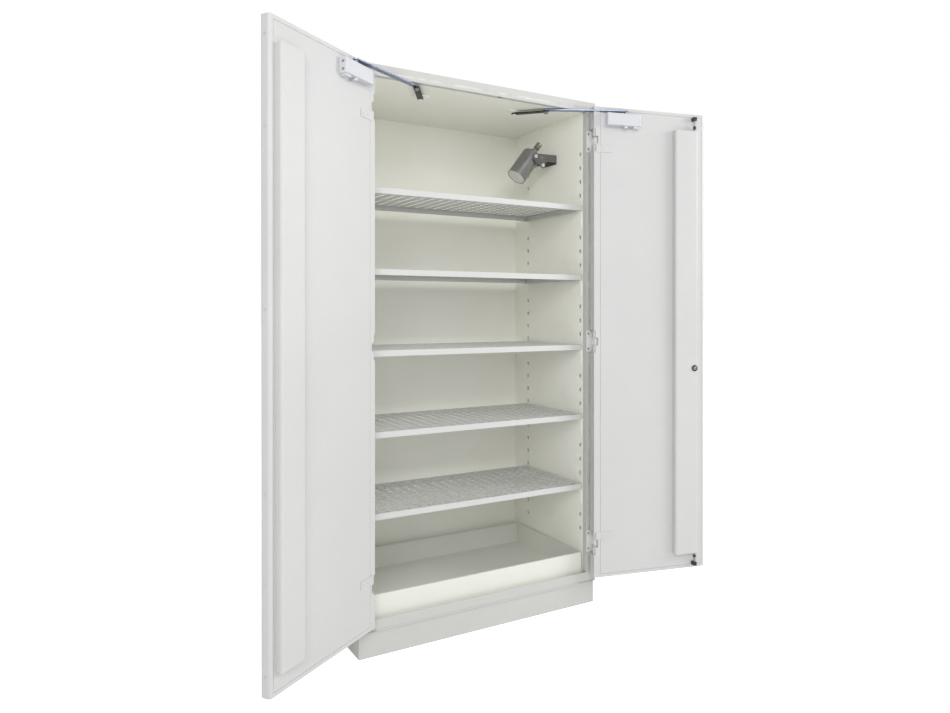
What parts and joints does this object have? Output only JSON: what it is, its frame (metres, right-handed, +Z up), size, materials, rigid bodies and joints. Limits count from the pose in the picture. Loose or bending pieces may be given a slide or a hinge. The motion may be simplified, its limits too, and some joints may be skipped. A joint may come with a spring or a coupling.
{
  "type": "flammable storage cabinet",
  "caption": "Tall double-walled safety cabinet with two open doors, overhead closers, perforated shelves on clips, a sump tray and a built-in extinguisher canister.",
  "frame": {"origin": "centre of the plinth's underside, on the floor", "axes": "+Z up, +X to the right seen from the front, doors on the -Y side"},
  "size_m": [1.8264, 0.8746, 1.99],
  "materials": {
    "zinc_steel": "zinc plated",
    "stainless": "polished stainless",
    "valve_metal": "plated valve",
    "bolt_zinc": "zinc plated",
    "bracket_steel": "grey steel",
    "face_plastic": "pale disc",
    "door_white": "powder coat, satin",
    "closer_white": "smooth paint",
    "liner_cream": "powder coat, satin",
    "fire_board": "mineral fire board",
    "plug_grey": "plastic plug",
    "seal_grey": "intumescent strip",
    "arm_black": "black paint",
    "casing_white": "powder coat, satin",
    "hinge_steel": "painted steel",
    "lock_metal": "satin",
    "black_plastic": "moulded plastic",
    "arm_blue_steel": "blued steel",
    "shelf_white": "powder coat, satin",
    "tray_white": "powder coat, satin"
  },
  "bodies": {
    "cabinet": {"canister_bolts": "bolt_zinc", "canister_bracket": "bracket_steel", "closer_shoes": "liner_cream", "fire_seals": "seal_grey", "frame_bottom_rail": "casing_white", "frame_stiles": "casing_white", "frame_top_rail": "casing_white", "hinge_frame_leaves": "hinge_steel", "hinge_pins": "hinge_steel", "insulation": "fire_board", "liner_back": "liner_cream", "liner_ceiling": "liner_cream", "liner_floor": "liner_cream", "liner_sides": "liner_cream", "outer_back": "casing_white", "outer_bottom": "casing_white", "outer_sides": "casing_white", "outer_top": "casing_white", "plinth": "casing_white", "shelf_clips": "liner_cream"},
    "door_left": {"door_pan_left": "door_white", "door_panel_left": "door_white", "door_board_left": "fire_board", "lock_cover_left": "door_white", "hinge_door_leaf_left": "hinge_steel", "claw_plates_left": "door_white", "closer_body_left": "closer_white", "edge_plugs_left": "plug_grey"},
    "door_right": {"door_pan_right": "door_white", "door_panel_right": "door_white", "door_board_right": "fire_board", "lock_cover_right": "door_white", "hinge_door_leaf_right": "hinge_steel", "claw_plates_right": "door_white", "closer_body_right": "closer_white", "lock_case": "lock_metal", "lock_rose": "lock_metal", "rod_guides": "black_plastic"},
    "main_arm_left": {"main_arm_left": "arm_blue_steel", "arm_spindle_left": "zinc_steel"},
    "main_arm_right": {"main_arm_right": "arm_blue_steel", "arm_spindle_right": "zinc_steel"},
    "forearm_left": {"forearm_left": "arm_black", "elbow_nut_left": "zinc_steel"},
    "forearm_right": {"forearm_right": "arm_black", "elbow_nut_right": "zinc_steel"},
    "lock_handle": {"lock_handle": "lock_metal", "lock_cam": "zinc_steel", "lock_end": "black_plastic"},
    "rod_upper": {"rod_upper": "zinc_steel"},
    "rod_lower": {"rod_lower": "zinc_steel"},
    "canister": {"canister": "stainless", "canister_face": "face_plastic", "canister_actuator": "valve_metal"},
    "sump_tray": {"sump_tray": "tray_white"},
    "shelf_1": {"shelf_1": "shelf_white"},
    "shelf_2": {"shelf_2": "shelf_white"},
    "shelf_3": {"shelf_3": "shelf_white"},
    "shelf_4": {"shelf_4": "shelf_white"},
    "shelf_5": {"shelf_5": "shelf_white"}
  },
  "joints": [
    {"name": "door_left_hinge", "type": "hinge", "parent": "cabinet", "child": "door_left", "pos_m": [-0.48, -0.308, 1], "axis": [0, 0, -1], "range_deg": [-146.2, 15.8]},
    {"name": "door_right_hinge", "type": "hinge", "parent": "cabinet", "child": "door_right", "pos_m": [0.48, -0.308, 1], "axis": [0, 0, 1], "range_deg": [-166.5, 1.5]},
    {"name": "main_arm_left_spindle", "type": "hinge", "parent": "door_left", "child": "main_arm_left", "pos_m": [-0.54999, -0.40299, 1.9], "axis": [0, 0, -1], "range_deg": [-17.41, 152.87]},
    {"name": "forearm_left_pivot", "type": "hinge", "parent": "cabinet", "child": "forearm_left", "pos_m": [-0.205, -0.142, 1.94], "axis": [0, 0, -1], "range_deg": [-121.24, 13.99]},
    {"name": "main_arm_right_spindle", "type": "hinge", "parent": "door_right", "child": "main_arm_right", "pos_m": [0.57859, -0.37281, 1.9], "axis": [0, 0, 1], "range_deg": [-2.53, 170.41]},
    {"name": "forearm_right_pivot", "type": "hinge", "parent": "cabinet", "child": "forearm_right", "pos_m": [0.205, -0.142, 1.94], "axis": [0, 0, 1], "range_deg": [-133.45, 2.19]},
    {"name": "lock_handle_turn", "type": "hinge", "parent": "door_right", "child": "lock_handle", "pos_m": [0.88131, -0.42697, 0.93], "axis": [-0.2334, -0.9724, 0], "range_deg": [0, 90]},
    {"name": "rod_upper_slide", "type": "slide", "parent": "door_right", "child": "rod_upper", "axis": [0, 0, 1], "range_m": [-0.0002, 0.0182]},
    {"name": "rod_lower_slide", "type": "slide", "parent": "door_right", "child": "rod_lower", "axis": [0, 0, -1], "range_m": [-0.0002, 0.0142]},
    {"name": "canister_tilt", "type": "hinge", "parent": "cabinet", "child": "canister", "pos_m": [0.34788, -0.038, 1.80032], "axis": [0, 1, 0], "range_deg": [-12, 12]},
    {"name": "shelf_1_lift", "type": "slide", "parent": "cabinet", "child": "shelf_1", "axis": [0, 0, 1], "range_m": [0, 0.02]},
    {"name": "shelf_2_lift", "type": "slide", "parent": "cabinet", "child": "shelf_2", "axis": [0, 0, 1], "range_m": [0, 0.02]},
    {"name": "shelf_3_lift", "type": "slide", "parent": "cabinet", "child": "shelf_3", "axis": [0, 0, 1], "range_m": [0, 0.02]},
    {"name": "shelf_4_lift", "type": "slide", "parent": "cabinet", "child": "shelf_4", "axis": [0, 0, 1], "range_m": [0, 0.02]},
    {"name": "shelf_5_lift", "type": "slide", "parent": "cabinet", "child": "shelf_5", "axis": [0, 0, 1], "range_m": [0, 0.02]},
    {"name": "sump_tray_lift", "type": "slide", "parent": "cabinet", "child": "sump_tray", "axis": [0, 0, 1], "range_m": [0, 0.04]}
  ],
  "couplings": [
    {"joint": "main_arm_left_spindle", "follows": "door_left_hinge", "ratio": -1.0388},
    {"joint": "forearm_left_pivot", "follows": "door_left_hinge", "ratio": 0.82241},
    {"joint": "main_arm_right_spindle", "follows": "door_right_hinge", "ratio": -1.0175},
    {"joint": "forearm_right_pivot", "follows": "door_right_hinge", "ratio": 0.7955},
    {"joint": "rod_upper_slide", "follows": "lock_handle_turn", "m_per_rad": 0.011459},
    {"joint": "rod_lower_slide", "follows": "lock_handle_turn", "m_per_rad": 0.0089127}
  ]
}
